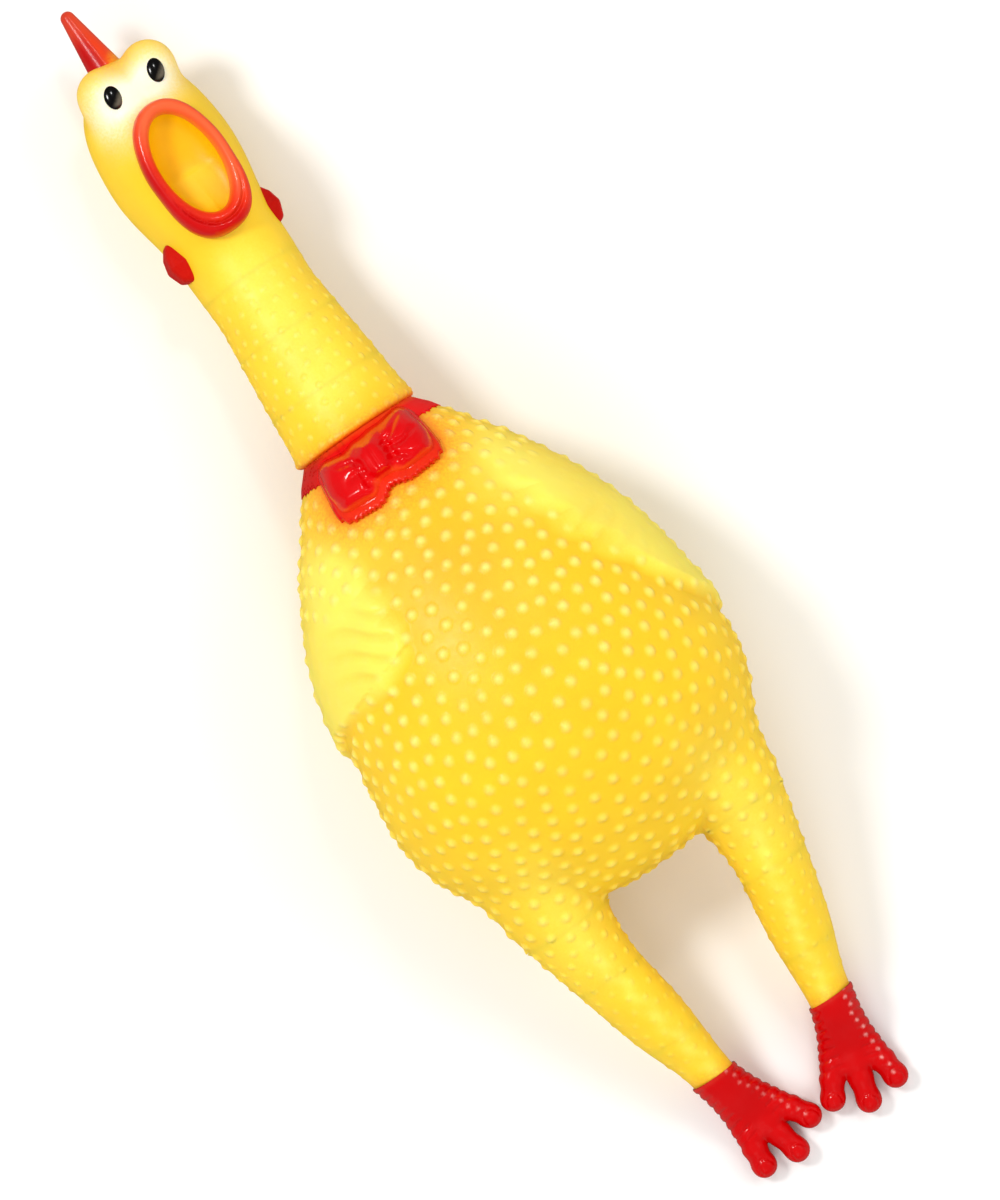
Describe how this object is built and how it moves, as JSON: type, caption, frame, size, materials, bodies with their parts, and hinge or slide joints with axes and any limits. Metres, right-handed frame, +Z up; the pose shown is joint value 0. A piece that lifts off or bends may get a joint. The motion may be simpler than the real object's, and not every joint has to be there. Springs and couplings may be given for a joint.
{
  "type": "rubber chicken",
  "caption": "Hollow soft squeeze toy shaped like a plucked chicken with an open beak, bow tie and red feet; a reed in its throat shrieks when the belly is pressed.",
  "frame": {"origin": "on the table the chicken lies on, under the middle of its box", "axes": "+Z up out of the belly and the face, +Y towards the head and comb, +X towards the chicken's own left wing"},
  "size_m": [0.0918, 0.31, 0.066],
  "materials": {
    "yellow_skin": "satin soft vinyl, slightly translucent",
    "red_skin": "glossy red paint on soft vinyl",
    "bow_tie": "glossy red paint on soft vinyl",
    "lip_paint": "glossy orange-red paint on soft vinyl",
    "comb_paint": "red paint fading to the yellow skin",
    "eye_paint": "glossy black paint",
    "sounder_plastic": "plain moulded plastic",
    "reed_plastic": "thin amber film"
  },
  "bodies": {
    "torso": {"torso_shell": "yellow_skin", "wing_left": "yellow_skin", "wing_right": "yellow_skin", "collar_band": "bow_tie", "bow_knot": "bow_tie", "bow_loop_left": "bow_tie", "bow_loop_right": "bow_tie", "neck_fold_lower": "yellow_skin", "hip_fold_left": "yellow_skin", "hip_fold_right": "yellow_skin"},
    "belly": {"belly_panel": "yellow_skin"},
    "neck_low": {"neck_ring_lower": "yellow_skin", "neck_fold_middle": "yellow_skin"},
    "neck_mid": {"neck_ring_middle": "yellow_skin", "neck_fold_upper": "yellow_skin"},
    "head": {"neck_ring_upper": "yellow_skin", "head_shell": "yellow_skin", "mouth_lips": "lip_paint", "comb": "comb_paint", "eye_left": "eye_paint", "eye_right": "eye_paint", "wattle_left": "red_skin", "wattle_right": "red_skin", "sounder_tube": "sounder_plastic", "sounder_cap": "sounder_plastic", "throat_seal": "sounder_plastic", "reed_trough": "sounder_plastic", "reed_wedge": "sounder_plastic"},
    "reed": {"reed_tongue": "reed_plastic"},
    "thigh_left": {"thigh_left": "yellow_skin", "knee_fold_left": "yellow_skin"},
    "shank_left": {"shank_left": "yellow_skin", "ankle_fold_left": "yellow_skin"},
    "foot_left": {"foot_left": "red_skin"},
    "thigh_right": {"thigh_right": "yellow_skin", "knee_fold_right": "yellow_skin"},
    "shank_right": {"shank_right": "yellow_skin", "ankle_fold_right": "yellow_skin"},
    "foot_right": {"foot_right": "red_skin"}
  },
  "joints": [
    {"name": "belly_squeeze", "type": "slide", "parent": "torso", "child": "belly", "axis": [0, 0, -1], "range_m": [0, 0.011], "stiffness_N_per_m": 900},
    {"name": "neck_bend", "type": "hinge", "parent": "torso", "child": "neck_low", "pos_m": [0, 0.04492, 0.02567], "axis": [1, 0, 0], "range_deg": [-30, 35], "stiffness_Nm_per_rad": 1.2, "deforming": ["neck_fold_lower"]},
    {"name": "neck_sway", "type": "hinge", "parent": "neck_low", "child": "neck_mid", "pos_m": [0, 0.06025, 0.02284], "axis": [0, 0, 1], "range_deg": [-25, 25], "stiffness_Nm_per_rad": 0.9, "deforming": ["neck_fold_middle"]},
    {"name": "head_twist", "type": "hinge", "parent": "neck_mid", "child": "head", "pos_m": [0, 0.07558, 0.02], "axis": [0, 1, 0], "range_deg": [-35, 35], "stiffness_Nm_per_rad": 0.7, "deforming": ["neck_fold_upper"]},
    {"name": "reed_flutter", "type": "hinge", "parent": "head", "child": "reed", "pos_m": [0, 0.08012, 0.01907], "axis": [1, 0, 0], "range_deg": [-3, 2], "stiffness_Nm_per_rad": 0.002},
    {"name": "hip_lift_left", "type": "hinge", "parent": "torso", "child": "thigh_left", "pos_m": [0.0237, -0.08308, 0.0243], "axis": [1, 0, 0], "range_deg": [-35, 30], "stiffness_Nm_per_rad": 0.6, "deforming": ["hip_fold_left"]},
    {"name": "leg_spread_left", "type": "hinge", "parent": "thigh_left", "child": "shank_left", "pos_m": [0.0203, -0.10333, 0.0186], "axis": [0, 0, 1], "range_deg": [0, 25], "stiffness_Nm_per_rad": 0.4, "deforming": ["knee_fold_left"]},
    {"name": "foot_flex_left", "type": "hinge", "parent": "shank_left", "child": "foot_left", "pos_m": [0.0164, -0.12258, 0.0116], "axis": [1, 0, 0], "range_deg": [-40, 25], "stiffness_Nm_per_rad": 0.25, "deforming": ["ankle_fold_left"]},
    {"name": "hip_lift_right", "type": "hinge", "parent": "torso", "child": "thigh_right", "pos_m": [-0.0237, -0.08308, 0.0243], "axis": [1, 0, 0], "range_deg": [-35, 30], "stiffness_Nm_per_rad": 0.6, "deforming": ["hip_fold_right"]},
    {"name": "leg_spread_right", "type": "hinge", "parent": "thigh_right", "child": "shank_right", "pos_m": [-0.0203, -0.10333, 0.0186], "axis": [0, 0, -1], "range_deg": [0, 25], "stiffness_Nm_per_rad": 0.4, "deforming": ["knee_fold_right"]},
    {"name": "foot_flex_right", "type": "hinge", "parent": "shank_right", "child": "foot_right", "pos_m": [-0.0164, -0.12258, 0.0116], "axis": [1, 0, 0], "range_deg": [-40, 25], "stiffness_Nm_per_rad": 0.25, "deforming": ["ankle_fold_right"]}
  ]
}
